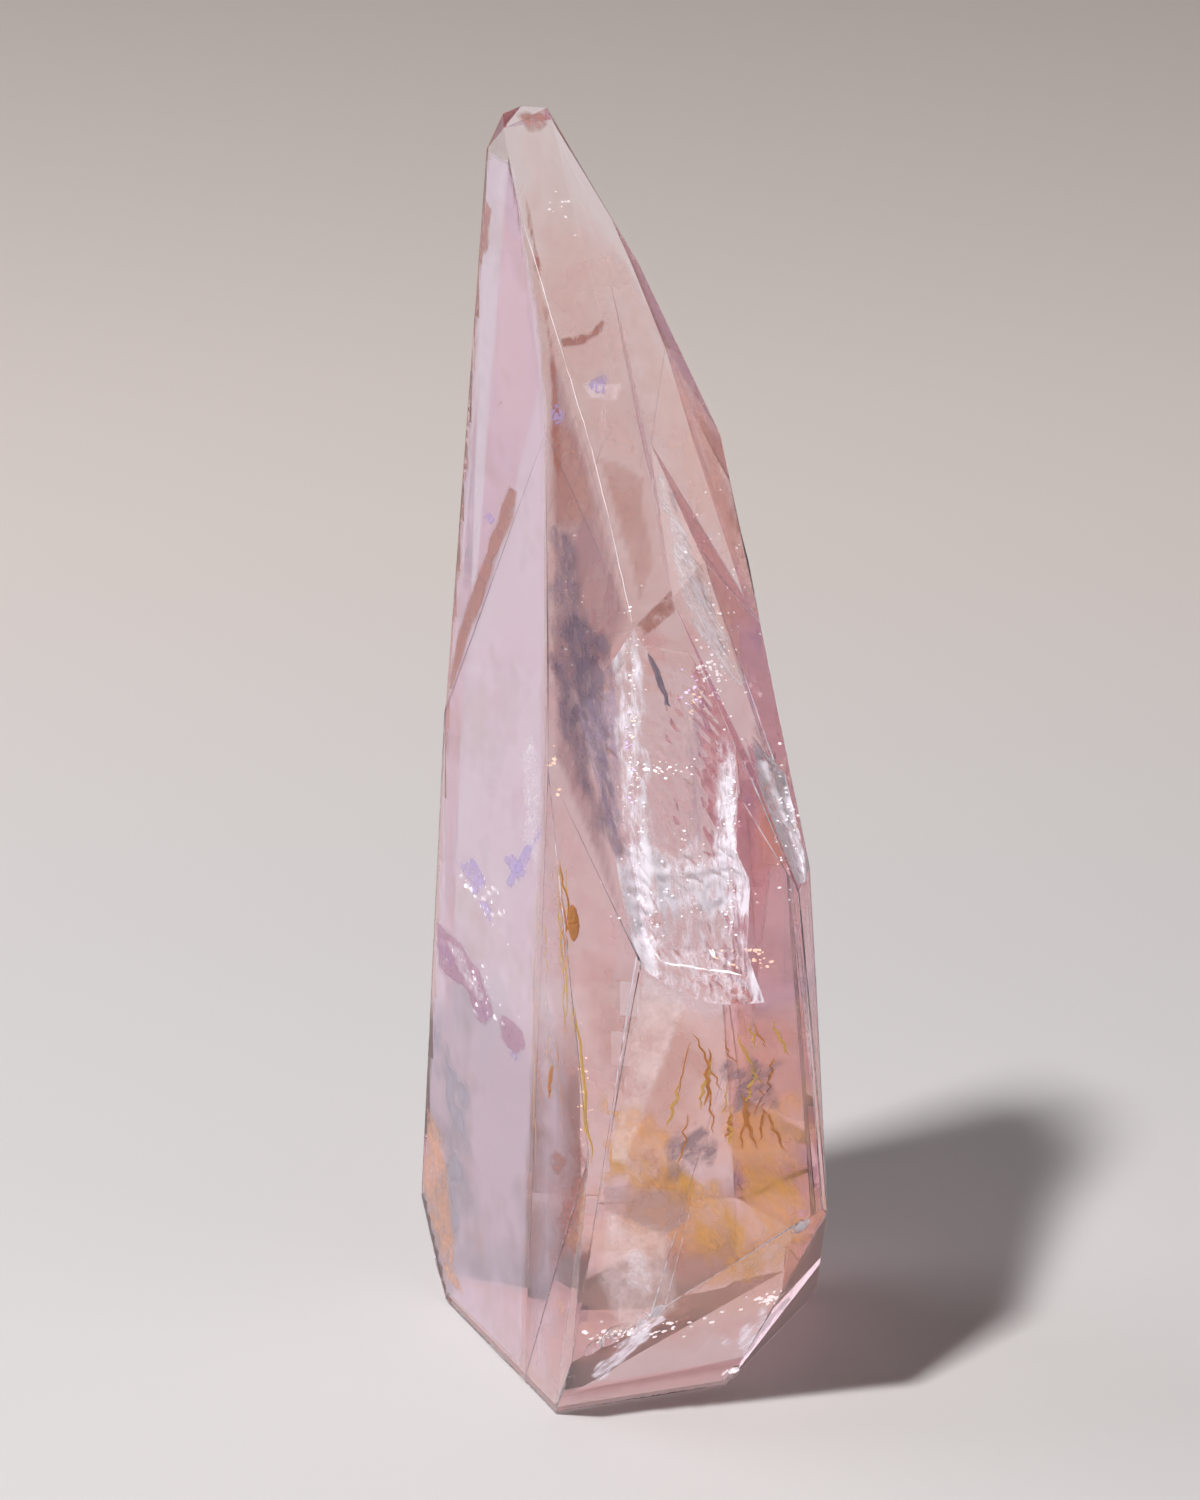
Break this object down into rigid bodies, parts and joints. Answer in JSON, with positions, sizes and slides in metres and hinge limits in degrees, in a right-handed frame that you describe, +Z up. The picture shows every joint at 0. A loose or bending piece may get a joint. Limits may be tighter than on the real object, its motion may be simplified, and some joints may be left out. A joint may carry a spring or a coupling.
{
  "type": "rose quartz crystal point",
  "caption": "Polished rose quartz point: a clear pink, tapering faceted crystal with rust inclusions and an old break on its front, standing on a cut base.",
  "frame": {"origin": "middle of the box around the crystal, on the ground face", "axes": "+Z up along the crystal, towards its tip; the pictured front faces -Y"},
  "size_m": [0.0342, 0.0329, 0.1066],
  "materials": {
    "rose_quartz": "polished"
  },
  "bodies": {
    "root": {"rose_quartz_point": "rose_quartz"}
  },
  "joints": []
}
